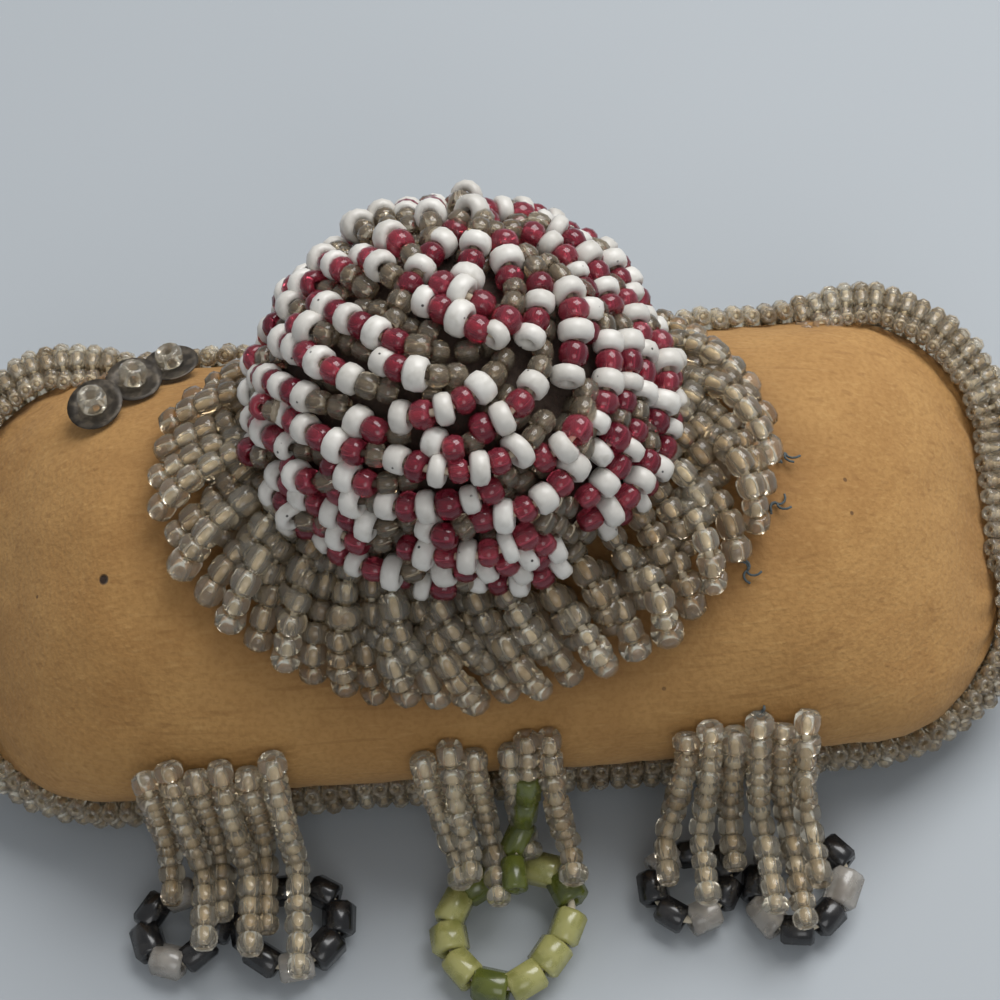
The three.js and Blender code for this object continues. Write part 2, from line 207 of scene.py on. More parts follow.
crown = Vector((-6, 30))
far_centre = crown - facing(crown_normal) * far_radius
crown_centre = crown - facing(crown_normal) * crown_radius
belly_centre = crown_centre + facing(belly_normal) * (crown_radius - belly_radius)


def front_section(along):
    if along >= 0:
        return far_centre + facing(crown_normal + math.degrees(along / far_radius)) * (far_radius - hide)
    if along >= -crown_arc:
        return crown_centre + facing(crown_normal + math.degrees(along / crown_radius)) * (crown_radius - hide)
    turn = belly_normal + math.degrees((along + crown_arc) / belly_radius)
    return belly_centre + facing(turn) * (belly_radius - hide)


lip_along, seam_along = far_arc, -(crown_arc + belly_arc)
lip_point, seam_point = front_section(lip_along), front_section(seam_along)
seam_middle = (lip_point + seam_point) / 2
seam_half = (lip_point - seam_point).length / 2
seam_run = (lip_point - seam_point).normalized()
seam_out = Vector((-seam_run.y, seam_run.x))


def at_station(x, point, side):
    rel = point - seam_middle
    turned = max(0.0, abs(x) - (half_length - corner))
    outline = 1 - (corner - math.sqrt(max(0.0, corner ** 2 - turned ** 2))) / seam_half
    ending = max(0.0, abs(x) - (half_length - end_round)) / end_round
    fullness = 1 - min(1.0, ending) ** end_power
    flat = seam_middle + seam_run * rel.dot(seam_run) * outline
    flat += seam_out * (rel.dot(seam_out) * fullness + side * (1 - fullness) * seat / 2)
    return Vector((x, flat.x, flat.y))


def on_panel(section, side, x, along):
    """Point on the inside of a panel and its outward normal, in millimetres."""
    step = 0.02
    high, low = min(x + step, half_length), max(x - step, -half_length)
    across = at_station(high, section(along), side) - at_station(low, section(along), side)
    up = at_station(x, section(along + step), side) - at_station(x, section(along - step), side)
    return at_station(x, section(along), side), across.cross(up).normalized() * side


def over_front(x, along, height):
    point, normal = on_panel(front_section, 1, x, along)
    return point + normal * (hide + height)


ruff_length, ruff_near, ruff_far = 25.0, 19.6, 19.6
# Painted shade under the ruff: the share of the ruff where it starts to fade, the ruff's mean reach and the fade, in
# millimetres.
ruff_shade_edge, ruff_shade_scale, ruff_shade_fade = 0.97, 20, 2.2


def ruff_share(x, along):
    """How far out from the flower's middle a place on the front panel is, 1 at the ruff's edge."""
    return math.hypot(x / ruff_length, along / (ruff_far if along > 0 else ruff_near))


def linked(name, mesh, material, body="purse"):
    mesh.materials.append(material)
    made = bpy.data.objects.new(name, mesh)
    scene.collection.objects.link(made)
    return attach(made, body)


def hide_panel(name, section, side, limits, count, relief, soil_and_shade, material):
    """A closed shell of hide: a strip at each station, in along its inside and back along its outside."""
    stations = [half_length * math.sin(math.radians(turn)) for turn in range(-90, 91, 2)]
    points, dirt, faces = [], [], []
    for x in stations:
        first, last = limits(x)
        strip = [first + (last - first) * i / count for i in range(count + 1)]
        spots = [on_panel(section, side, x, along) for along in strip]
        points += [point for point, normal in spots]
        for along, (point, normal) in reversed(list(zip(strip, spots))):
            points.append(point + normal * (hide + relief(x, along, first, last)))
        shade = [soil_and_shade(x, along, first, last) for along in strip]
        dirt += shade + shade[::-1]
    ring = 2 * (count + 1)
    for i in range(len(stations) - 1):
        for j in range(ring):
            here, there = i * ring + j, i * ring + (j + 1) % ring
            faces.append((here, there, there + ring, here + ring))
    for row in (0, (len(stations) - 1) * ring):
        for j in range(count):
            faces.append((row + j, row + j + 1, row + ring - 2 - j, row + ring - 1 - j))
    mesh = bpy.data.meshes.new(name)
    mesh.from_pydata([p * 0.001 for p in points], [], faces)
    mesh.attributes.new("soil_and_shade", "FLOAT", "POINT").data.foreach_set("value", dirt)
    bm = bmesh.new()
    bm.from_mesh(mesh)
    bmesh.ops.recalc_face_normals(bm, faces=bm.faces)
    for face in bm.faces:
        face.smooth = True
    for edge in bm.edges:
        edge.smooth = len(edge.link_faces) == 2 and edge.calc_face_angle(0) < math.radians(50)
    bm.to_mesh(mesh)
    bm.free()
    return linked(name, mesh, material)


def lumps(x, along, first, last):
    """Slow swells of the stuffing, and puckers where the edge stitches draw the hide in."""
    swell = 0.35 * noise.noise(Vector((x / 11, along / 9, 1.7)))
    swell += 0.16 * noise.noise(Vector((x / 4, along / 4, 5.1)))
    edge = min(along - first, last - along, 1.2 * (half_length - abs(x)))
    pucker = 0.22 * math.sin(2.1 * x + 1.3 * along) * math.exp(-max(0.0, edge) / 3.5)
    return (swell + pucker) * min(1.0, max(0.0, edge) / 2.5)


def edge_soil_ruff_shade(x, along, first, last):
    """Soil in the nap along the edging, and painted shade under the ruff and flower that fades out past the ruff."""
    edge = math.exp(-max(0.0, min(along - first, last - along, 1.3 * (half_length - abs(x)))) / 2.0)
    # Painted shade: 1 under the ruff and the flower, falling off just past the ruff's edge.
    ruff = math.exp(-max(0.0, ruff_share(x, along) - ruff_shade_edge) * ruff_shade_scale / ruff_shade_fade)
    return min(1.2, 0.9 * edge + 1.15 * ruff)


def hide_paint(name, spot=None):
    paint = Paint(name, sheen_weight=0.05, sheen_roughness=0.5)
    blotch = paint.noise(90, 3)
    cloud = paint.noise(330, 2)
    grain = paint.noise(2300, 2)
    fibre = paint.noise(1, 1, paint.stretched(420, 2600, 2600))
    scratch = paint.noise(1, 1, paint.stretched(90, 1300, 1300)).ramp(0.63, 0.72)
    pit = paint.node("TexVoronoi", "Distance", Vector=paint.place(), Scale=300.0, Randomness=1.0)
    pore = (1 - pit.ramp(0.04, 0.07)) * paint.noise(120, 1).ramp(0.50, 0.56)
    colour = paint.mix(blotch.ramp(0.30, 0.70), (0.405, 0.209, 0.062), (0.485, 0.265, 0.086))
    colour = paint.mix(cloud.ramp(0.40, 0.75) * 0.35, colour, (0.55, 0.310, 0.102))
    colour = paint.mix(grain.ramp(0.38, 0.70) * 0.30, colour, (0.27, 0.128, 0.034))
    colour = paint.mix(fibre.ramp(0.55, 0.8) * 0.25, colour, (0.63, 0.385, 0.145))
    colour = paint.mix(scratch * 0.32, colour, (0.25, 0.115, 0.030))
    colour = paint.mix(pore * 0.8, colour, (0.10, 0.048, 0.018))
    # Darker along the edging (soil) and under the ruff and flower (painted shade).
    colour = paint.mix(paint.attribute("soil_and_shade") * 0.55, colour, (0.165, 0.074, 0.020))
    height = grain * 0.55 + fibre * 0.3
    if spot:
        away = paint.node("VectorMath", "Value", {"operation": "DISTANCE"}, _0=paint.place(), _1=spot)
        hole = 1 - away.ramp(0.00028, 0.0005)
        colour = paint.mix(hole, colour, (0.03, 0.014, 0.006))
        height = height - hole * 3
    paint.set("Base Color", colour)
    paint.set("Roughness", 0.78 + grain * 0.16)
    return paint.bump(height, 0.00022, 0.7)


pin_hole = over_front(-29.2, -7.0, 0.1) * 0.001
front_paint = hide_paint("front_hide", pin_hole)
front_strips = 60
front_hide = hide_panel("front_hide", front_section, 1, lambda x: (seam_along + seat / 2, lip_along - seat / 2),
                        front_strips, lumps, edge_soil_ruff_shade, front_paint.material)
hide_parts("front_panel")

# Back hide: the second panel, which takes the purse's weight. It leaves the seam, lies flat on the table, and climbs
# the far wall to a scooped lip that leaves the mouth open.
back_slope, rest_length, landing, heel = 30, 13.5, 2.5, 11
slope_foot = seam_point.x + (seam_point.y - hide) / math.tan(math.radians(back_slope))
rest_start = slope_foot + landing
rest_end = rest_start + rest_length


def curved(start, pull, end, count=50):
    return [start.lerp(pull, i / count).lerp(pull.lerp(end, i / count), i / count) for i in range(count + 1)]


back_line = curved(seam_point, Vector((slope_foot, hide)), Vector((rest_start, hide)))
back_line += curved(Vector((rest_end, hide)), Vector((rest_end + heel, hide)), lip_point)
back_runs = [0.0]
for start, end in zip(back_line, back_line[1:]):
    back_runs.append(back_runs[-1] + (end - start).length)
back_length = back_runs[-1]


def back_section(along):
    along = min(max(along, 0.0), back_length)
    i = min(max(bisect_left(back_runs, along), 1), len(back_runs) - 1)
    return back_line[i - 1].lerp(back_line[i], (along - back_runs[i - 1]) / (back_runs[i] - back_runs[i - 1]))


mouth_half, mouth_gape = 29, 12.5
rest_half, back_strips = 22, 46


def back_lip(x):
    return back_length - mouth_gape * math.sqrt(max(0.0, 1 - (x / mouth_half) ** 4)) - hide * 0.5


def back_lumps(x, along, first, last):
    level = rest_start - 3 < back_section(along).x < rest_end + 3
    return 0.0 if level else 0.6 * lumps(x, along, first, last)


def back_soil(x, along, first, last):
    edge = math.exp(-max(0.0, min(along - first, last - along, 1.3 * (half_length - abs(x)))) / 2.0)
    rest = 0.35 if rest_start < back_section(along).x < rest_end and abs(x) < rest_half else 0.0
    return min(1.0, 0.9 * edge + rest)


back_hide = hide_panel("back_hide", back_section, -1, lambda x: (seat / 2, back_lip(x) - seat / 2), back_strips,
                       back_lumps, back_soil, hide_paint("back_hide").material)
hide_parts("back_panel")

# Bead edging: old clear seed beads in short rows, each row sewn over the edge from one face of the hide to the other.
# The rows sit close together along both lips of the mouth and all round the seam.


def spun(profile, sides):
    """A ring turned about Z from a closed profile of radius and height: its corners and faces."""
    bm = bmesh.new()
    corners = [bm.verts.new((r, 0, z)) for r, z in profile]
    edges = [bm.edges.new(pair) for pair in zip(corners, corners[1:] + corners[:1])]
    bmesh.ops.spin(bm, geom=corners + edges, cent=(0, 0, 0), axis=(0, 0, 1), angle=2 * math.pi, steps=sides,
                   use_merge=True)
    bmesh.ops.recalc_face_normals(bm, faces=bm.faces)
    bm.verts.index_update()
    shape = [v.co.copy() for v in bm.verts], [[v.index for v in f.verts] for f in bm.faces]
    bm.free()
    return shape


def gathered(name, copies, material, body="purse"):
    """One mesh of many copies. Each is a shape, its matrix in millimetres and a tone of its own from 0 to 1."""
    points, faces, tones = [], [], []
    for (corners, sides), matrix, tone in copies:
        first = len(points)
        points += [(matrix @ corner) * 0.001 for corner in corners]
        faces += [[first + i for i in side] for side in sides]
        tones += [tone] * len(corners)
    mesh = bpy.data.meshes.new(name)
    mesh.from_pydata(points, [], faces)
    mesh.attributes.new("tone", "FLOAT", "POINT").data.foreach_set("value", tones)
    mesh.polygons.foreach_set("use_smooth", [True] * len(faces))
    return linked(name, mesh, material, body)


def threaded(centre, run, radius, length, rng, wobble=0.09):
    """Where one bead sits: on a thread that runs that way, turned and tipped a little."""
    tip = Vector((rng.uniform(-1, 1), rng.uniform(-1, 1), rng.uniform(-1, 1))) * wobble
    run = (run.normalized() + tip).normalized()
    side = run.orthogonal().normalized()
    side.rotate(Matrix.Rotation(rng.uniform(0, 6.28), 3, run))
    wide = radius * rng.uniform(0.93, 1.06)
    columns = (side * wide, run.cross(side) * wide * rng.uniform(0.95, 1.05), run * length * rng.uniform(0.88, 1.1))
    return Matrix.Translation(centre) @ Matrix(columns).transposed().to_4x4()


def cord_mesh(paths, radius, tone=1.0, sides=5):
    """Thin threads as copies of one shape each, along lists of points. A tone of 0 is a thread painted dark as shade.
    """
    copies = []
    for path in paths:
        corners, faces = [], []
        for i, point in enumerate(path):
            run = (path[min(i + 1, len(path) - 1)] - path[max(i - 1, 0)]).normalized()
            side = run.cross(Vector((0.31, 0.43, 0.85))).normalized()
            other = run.cross(side)
            for j in range(sides):
                angle = 2 * math.pi * j / sides
                corners.append(point + side * radius * math.cos(angle) + other * radius * math.sin(angle))
            if i:
                base = (i - 1) * sides
                for j in range(sides):
                    k = (j + 1) % sides
                    faces.append((base + j, base + k, base + sides + k, base + sides + j))
        faces.append(list(range(sides))[::-1])
        faces.append(list(range(len(corners) - sides, len(corners))))
        copies.append(((corners, faces), Matrix.Identity(4), tone))
    return copies


bead_profile = [(0.36, -0.40), (0.72, -0.50), (0.97, -0.26), (0.97, 0.26), (0.72, 0.50), (0.36, 0.40)]
small_bead = spun(bead_profile, 8)


def bead_glass(name, clarity, dull, bright):
    """Old clear glass with a film of soil. Each bead has its own tone between the dull and the bright colour."""
    paint = Paint(name, transmission_weight=clarity, ior=1.46)
    film = paint.noise(900, 1).ramp(0.50, 0.80)
    colour = paint.mix(paint.attribute("tone"), dull, bright)
    paint.set("Base Color", paint.mix(film * 0.4, colour, (0.58, 0.47, 0.33)))
    return paint.set("Roughness", 0.03 + film * 0.22)


glass_paint = bead_glass("clear_bead", 0.89, (0.72, 0.60, 0.43), (1.0, 0.93, 0.78))
edging_paint = bead_glass("edging_bead", 0.86, (0.70, 0.59, 0.43), (1.0, 0.93, 0.78))
thread_paint = Paint("thread", roughness=0.9)
thread_clean = thread_paint.mix(thread_paint.noise(900, 1), (0.72, 0.61, 0.43), (0.92, 0.83, 0.66))
# Tone 0 is painted shade, a dark thread for the tails in the gaps between strands; tone 1 is the thread's own cream.
thread_paint.set("Base Color", thread_paint.mix(thread_paint.attribute("tone"), (0.13, 0.095, 0.068), thread_clean))

edging_row = 1.45
edging_bead, edging_least, edging_pitch = 0.82, 0.62, 1.5
face_step, face_sink = 1.42, 0.3
seam_sit, seam_room, seam_taper = 0.3, 0.9, 7
corner_run = math.pi / 2 * corner
side_run = 2 * (seam_half - corner)
corner_start = half_length - corner
half_seam = corner_start + 2 * corner_run + side_run + corner_start - mouth_half


def corner_spot(share, way):
    angle = math.pi / 2 * share
    return corner_start + corner * math.sin(angle), way * (seam_half - corner + corner * math.cos(angle))


def seam_spot(run):
    """Place on the seam's outline, at a distance from the middle of the bottom: x and distance across the panel."""
    past = run - corner_start
    if past <= 0:
        return run, -seam_half
    if past <= corner_run:
        return corner_spot(past / corner_run, -1)
    side = past - corner_run
    if side <= side_run:
        return half_length, side - side_run / 2
    high = side - side_run
    if high <= corner_run:
        return corner_spot(1 - high / corner_run, 1)
    return corner_start - (high - corner_run), seam_half


def seam_row(run):
    """A row over the seam: its pivot, the way off the seam, the way to the front panel and that panel's slope."""
    x, across = seam_spot(abs(run))
    way, top = (1 if run >= 0 else -1), across > 0
    upright = min(1.0, max(0.0, abs(across) - side_run / 2) / corner)
    station = way * min(x, corner_start)
    front = on_panel(front_section, 1, station, lip_along if top else seam_along)[1]
    back = on_panel(back_section, -1, station, back_length if top else 0.0)[1]
    edge = Vector((0, seam_run.x, seam_run.y)) * (1 if top else -1)
    level = edge * upright + Vector((way, 0, 0)) * math.sqrt(1 - upright ** 2)
    frontward = Vector((0, seam_out.x, seam_out.y))
    middle = (front + back).normalized()
    lean = math.asin(middle.dot(frontward)) * upright
    outward = level * math.cos(lean) + frontward * math.sin(lean)
    facing_front = frontward * math.cos(lean) - level * math.sin(lean)
    swing = math.acos(min(1.0, front.dot(middle))) * upright + math.radians(45) * (1 - upright)
    slope = facing_front * math.cos(swing) - outward * math.sin(swing)
    flat = seam_middle + seam_run * across
    off = seam_sit + (hide + seam_room) * min(1.0, (half_seam - abs(run)) / seam_taper)
    return Vector((way * x, flat.x, flat.y)) + outward * off, outward, facing_front, slope


def lip_row(section, side, x, along):
    """A row over a lip: its pivot in the cut edge, the way out of it, the way to the hide's face and its slope."""
    point, normal = on_panel(section, side, x, along)
    inner = on_panel(section, side, x, along - 1)[0]
    end = point - inner
    end = (end - normal * end.dot(normal)).normalized()
    return point + normal * hide / 2, end, normal, -end


def spaced_rows(place, first, last, radius):
    """Rows along an edge, at one spacing along the line of their outermost beads."""
    count = 10 * round(last - first)
    rows, gone, before = [], edging_row / 2, None
    for i in range(count + 1):
        row = place(first + (last - first) * i / count)
        outer = row[0] + row[1] * radius
        gone += (outer - before).length if before else 0.0
        if gone >= edging_row:
            rows.append(row)
            gone -= edging_row
        before = outer
    return rows


def wrapped_rows(rows, radius, turns, rng):
    """The beads and threads of rows that each lie on the hide's face, then curl round a pivot to the other face."""
    curls = []
    for pivot, outward, face, slope in rows:
        lift = rng.uniform(-0.12, 0.2)
        skew = rng.uniform(-0.05, 0.05)
        curl = []
        for turn in turns:
            angle = math.radians(turn * rng.uniform(0.97, 1.03)) + skew
            away = outward * math.cos(angle) + face * math.sin(angle)
            along = outward * -math.sin(angle) + face * math.cos(angle)
            curl.append((pivot + away * (radius + lift), along))
        sunk = outward * slope.dot(face) - face * slope.dot(outward)
        curl.insert(0, (curl[0][0] + slope * face_step - sunk * face_sink, slope))
        curls.append(curl)
    beads = []
    for i, curl in enumerate(curls):
        tone = rng.random()
        beside = curls[i + 1 if i + 1 < len(curls) else i - 1]
        for (spot, along), (next_spot, _) in zip(curl, beside):
            grade = min(1.0, max(0.0, tone + rng.uniform(-0.3, 0.3)))
            wide = min(edging_bead, max(edging_least, 0.58 * (spot - next_spot).length))
            beads.append((small_bead, threaded(spot, along, wide, edging_pitch, rng), grade))
    return beads, [[spot for spot, along in curl] for curl in curls]


rng = random.Random(11)
front_lip_end = mouth_half - 0.3
back_lip_end = mouth_half * (1 - (6.9 / mouth_gape) ** 2) ** 0.25
seam_curl, seam_turns = 2.1, (108, 69, 30, -9, -48, -87, -124)
lip_curl, lip_turns = 1.85, (120, 76, 32, -12, -56, -100)
edging_cord = 0.24


def front_lip_row(x):
    return lip_row(front_section, 1, x, lip_along)


def back_lip_row(x):
    return lip_row(back_section, -1, x, back_lip(x))


edgings = (("seam_edging_beads", "seam_edging", seam_row, half_seam, seam_curl, seam_turns),
           ("front_lip_beads", "front_lip_edging", front_lip_row, front_lip_end, lip_curl, lip_turns),
           ("back_lip_beads", "back_lip_edging", back_lip_row, back_lip_end, lip_curl, lip_turns))
edging_threads = []
for name, node, place, end, curl, turns in edgings:
    beads, threads = wrapped_rows(spaced_rows(place, -end, end, curl), curl, turns, rng)
    edging_threads += threads
    edging = gathered(name, beads, edging_paint.material)
    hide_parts(node)
edging_thread = gathered("edging_thread", cord_mesh(edging_threads, edging_cord), thread_paint.material)

# Ruff: two tiers of lanes of clear seed beads, each lane one stitch that arches a little off the hide. The lanes lie
# side by side, start under the flower and end in an even scalloped edge.
ruff_bead, ruff_pitch, ruff_most, ruff_cord = 1.3, 1.8, 11, 0.35
lane_pitch, lane_steps, lane_lift, lane_sway = 2.6, 24, 1.1, 0.30
right_sway, right_short, right_pitch = 0.80, 0.025, 0.35


def on_ruff(turn, share, height):
    far = ruff_far if math.sin(turn) > 0 else ruff_near
    return over_front(ruff_length * share * math.cos(turn), far * share * math.sin(turn), height)


def strung(path, sizes, rng, wobble=0.09):
    """Places of beads that touch along a path of points: the sizes give each bead's radius and length in turn."""
    runs = [0.0]
    for start, end in zip(path, path[1:]):
        runs.append(runs[-1] + (end - start).length)

    def at(run):
        i = min(max(bisect_left(runs, run), 1), len(runs) - 1)
        return path[i - 1].lerp(path[i], (run - runs[i - 1]) / max(1e-6, runs[i] - runs[i - 1]))

    places, gone = [], 0.0
    for radius, length in sizes:
        if gone + length * 0.7 > runs[-1]:
            break
        centre = at(gone + length / 2)
        run = at(min(gone + length * 0.8, runs[-1])) - at(gone + length * 0.2)
        places.append(threaded(centre, run, radius, length, rng, wobble))
        gone += length * 0.98
    return places


rng = random.Random(23)
round_profile = [(0.34, -0.38), (0.68, -0.50), (0.94, -0.30), (1.0, 0.0), (0.94, 0.30), (0.68, 0.50), (0.34, 0.38)]
medium_bead = spun(round_profile, 10)
ruff_beads, ruff_threads = [], []
ruff_tiers = ((0.48, 0.76, 0.975, lane_lift, (1.2, 2.4)),
              (0.48, 0.50, 0.83, 3.1, (0.2, 1.0)))
for lane_in, lane_right, lane_out, base, arches in ruff_tiers:
    turn, lane = -math.pi, 0
    while turn < math.pi - 0.08:
        right = max(0.0, math.cos(turn))
        sway = lane_sway - right_sway * right + rng.uniform(-0.03, 0.03)
        start = lane_in + (lane_right - lane_in) * right
        stop = lane_out - right_short * right + rng.uniform(-0.02, 0.01)
        arch = arches[lane % 2] + rng.uniform(-0.2, 0.2)
        path = []
        for k in range(lane_steps + 1):
            share = 1 - k / lane_steps
            height = base + arch * math.sin(math.pi * share) ** 0.8 - (base - lane_lift) * share ** 3
            path.append(on_ruff(turn - sway * (1 - share), start + (stop - start) * share, height))
        sizes = []
        for k in range(ruff_most):
            shrink = 1 - 0.035 * k * rng.uniform(0.5, 1.2)
            sizes.append((ruff_bead * shrink * rng.uniform(0.86, 1.06), ruff_pitch * rng.uniform(0.75, 1.2)))
        tone = rng.random()
        places = strung(path, sizes, rng)
        for place in places:
            ruff_beads.append((medium_bead, place, min(1.0, max(0.0, tone + rng.uniform(-0.35, 0.35)))))
        ruff_threads.append([place.translation for place in places])
        spacing = (lane_pitch + right_pitch * right) * rng.uniform(0.93, 1.07)
        turn += spacing / (lane_out * math.hypot(ruff_length * math.sin(turn), ruff_near * math.cos(turn)))
        lane += 1
ruff = gathered("ruff_beads", ruff_beads, glass_paint.material)
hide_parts("flower_ruff")
ruff_thread = gathered("ruff_thread", cord_mesh(ruff_threads, ruff_cord), thread_paint.material)
knot_spots = ((21.2, -10.6), (24.0, -5.4), (25.2, -1.2), (21.3, -22.6))
knot_ends, knot_steps, knot_step, knot_cord = 4, 6, 0.2, 0.1
ruff_tails = []
for x, along in knot_spots:
    for _ in range(knot_ends):
        way, rise = rng.uniform(0, 6.28), rng.uniform(0.0, 0.12)
        tail = []
        for k in range(knot_steps):
            bend, gone = way + 0.3 * k, knot_step * k
            tail.append(over_front(x + gone * math.cos(bend), along + gone * math.sin(bend), 0.15 + rise * k))
        ruff_tails.append(tail)
tail_paint = Paint("loose_thread", roughness=0.9)
tail_paint.set("Base Color", tail_paint.mix(tail_paint.noise(1500, 3), (0.045, 0.060, 0.065), (0.13, 0.155, 0.16)))
loose_thread = gathered("loose_thread", cord_mesh(ruff_tails, knot_cord), tail_paint.material)

# Flower pad: a mushroom of wadding under dark cloth. It stands inside the ruff, swells out over it and carries the
# strands.
dome_middle, dome_length, dome_width, dome_rise = 3.0, 16.8, 13.0, 14.4
rose_bead = 2.5
dome_base = seat + 2.3 + seat + rose_bead / 2


def on_dome(polar, turn, inset):
    out = math.sin(polar) * (1 - 0.08 * math.sin(2 * polar))
    x = (dome_length - inset) * out * math.cos(turn)
    along = dome_middle + (dome_width - inset) * out * math.sin(turn)
    return over_front(x, along, dome_base + (dome_rise - inset) * math.cos(polar))


pad_mesh = bpy.data.meshes.new("flower_pad")
pad_sides, pad_steps, pad_foot, pad_stem = 48, 14, 0.47, 2.65
bm = bmesh.new()
pad_rows = []
for i in range(pad_sides):
    turn = 2 * math.pi * i / pad_sides
    ring = [on_ruff(turn, pad_foot, seat), on_ruff(turn, pad_foot, seat + pad_stem)]
    for k in range(pad_steps + 1):
        lump = noise.noise(Vector((6 * math.cos(turn), 6 * math.sin(turn), k * 0.7)))
        ring.append(on_dome(math.radians(92 - 84 * k / pad_steps), turn, rose_bead / 2 + 0.3 + 0.25 * lump))
    pad_rows.append([bm.verts.new(p * 0.001) for p in ring])
for here, there in zip(pad_rows, pad_rows[1:] + pad_rows[:1]):
    for k in range(len(here) - 1):
        bm.faces.new((here[k], there[k], there[k + 1], here[k + 1]))
bm.faces.new([row[0] for row in pad_rows])
bm.faces.new([row[-1] for row in pad_rows])
bmesh.ops.recalc_face_normals(bm, faces=bm.faces)
for face in bm.faces:
    face.smooth = True
bm.to_mesh(pad_mesh)
bm.free()
pad_paint = Paint("pad_cloth", roughness=0.95)
pad_weave = pad_paint.noise(1, 2, pad_paint.stretched(2200, 2200, 700))
pad_paint.set("Base Color", pad_paint.mix(pad_weave, (0.026, 0.016, 0.012), (0.070, 0.047, 0.034)))
pad_paint.bump(pad_weave, 0.0003, 0.8)
pad = linked("flower_pad_cloth", pad_mesh, pad_paint.material)
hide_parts("flower_pad")

# Whorl: strands of red and white seed beads by turns, sewn round the pad. Each strand leans in towards the heart and
# arches off the pad, and its inner end goes down in clear beads under the next strand.
white_profile = [(0.34, -0.36), (0.66, -0.50), (0.93, -0.34), (1.0, 0.0), (0.93, 0.34), (0.66, 0.50), (0.34, 0.36)]
red_profile = [(0.32, -0.41), (0.60, -0.47), (0.87, -0.31), (1.0, 0.0), (0.87, 0.31), (0.60, 0.47), (0.32, 0.41)]
large_bead = spun(white_profile, 12)
bead_shapes = {"white": large_bead, "red": spun(red_profile, 12), "clear": medium_bead}
rose_reach = (dome_length + dome_width) / 2
rose_cord, steps_a_bead, route_step = 0.33, 7, 0.23


def strand_route(polar, turn, bend, steps, step):
    """Polar angle and turn along one strand. On the far side it runs straight in, on the near side along the rim."""
    spot, way, route = Vector((math.cos(turn), math.sin(turn))) * polar, Vector((0, 0)), []
    for _ in range(steps + 1):
        polar, turn = spot.length, math.atan2(spot.y, spot.x)
        route.append((polar, turn))
        if polar > 0.3 or not way.length:
            lean = math.radians(40 + 34 * math.cos(turn - 2.1)) + bend
            inward = Vector((-math.cos(turn), -math.sin(turn)))
            around = Vector((-math.sin(turn), math.cos(turn))) * polar / max(0.05, math.sin(polar))
            way = inward * math.sin(lean) + around * math.cos(lean)
        spot = spot + way * step / rose_reach
    return route


def room(polar, turn, inset, radius, closeness):
    """How far a bead on the dome rises to pass over those already laid, and how far off the nearest of them is."""
    spot = on_dome(polar, turn, inset)
    near = [(spot - centre, radius + laid[i][1]) for centre, i, _ in laid_tree.find_range(spot, 4.0)]
    outward = (on_dome(polar, turn, inset - 1) - spot).normalized()
    lift = 0.0
    for apart, touch in near:
        reach = closeness * touch
        if apart.length < reach:
            high = apart.dot(outward)
            lift = max(lift, math.sqrt(max(0.0, reach ** 2 - apart.length_squared + high ** 2)) - high)
    return lift, min([apart.length - touch for apart, touch in near], default=2.0)


def strand_try(most, inset, tail, closeness, lengths, rng):
    """A strand laid at random on the dome, how snug it lies to its neighbours, and None where it doesn't fit."""
    polar, turn = math.radians(93) * rng.random() ** 0.55, rng.uniform(0, 2 * math.pi)
    beads, bend, red_first = rng.choice(lengths), rng.uniform(-0.18, 0.18), rng.randrange(2)
    kinds = ["red" if (k + red_first) % 2 else "white" for k in range(beads)] + ["clear"] * tail
    if not tail:
        kinds = ["clear"] * beads
    route = strand_route(polar, turn, bend, steps_a_bead * len(kinds), route_step)
    rises, gaps = [], 0.0
    for k in range(beads):
        rise, gap = room(*route[steps_a_bead * k + 3], inset, bead_sizes[kinds[k]][0], closeness)
        if rise > most:
            return None
        rises.append(rise)
        gaps += gap / beads
    return gaps, kinds, route, rises


rng = random.Random(37)
bead_sizes = {"white": (1.30, 1.5), "red": (1.12, 1.8), "clear": (0.95, 1.6)}
rose_heaps, rose_threads, rose_tails, laid = {"white": [], "red": [], "clear": []}, [], [], []
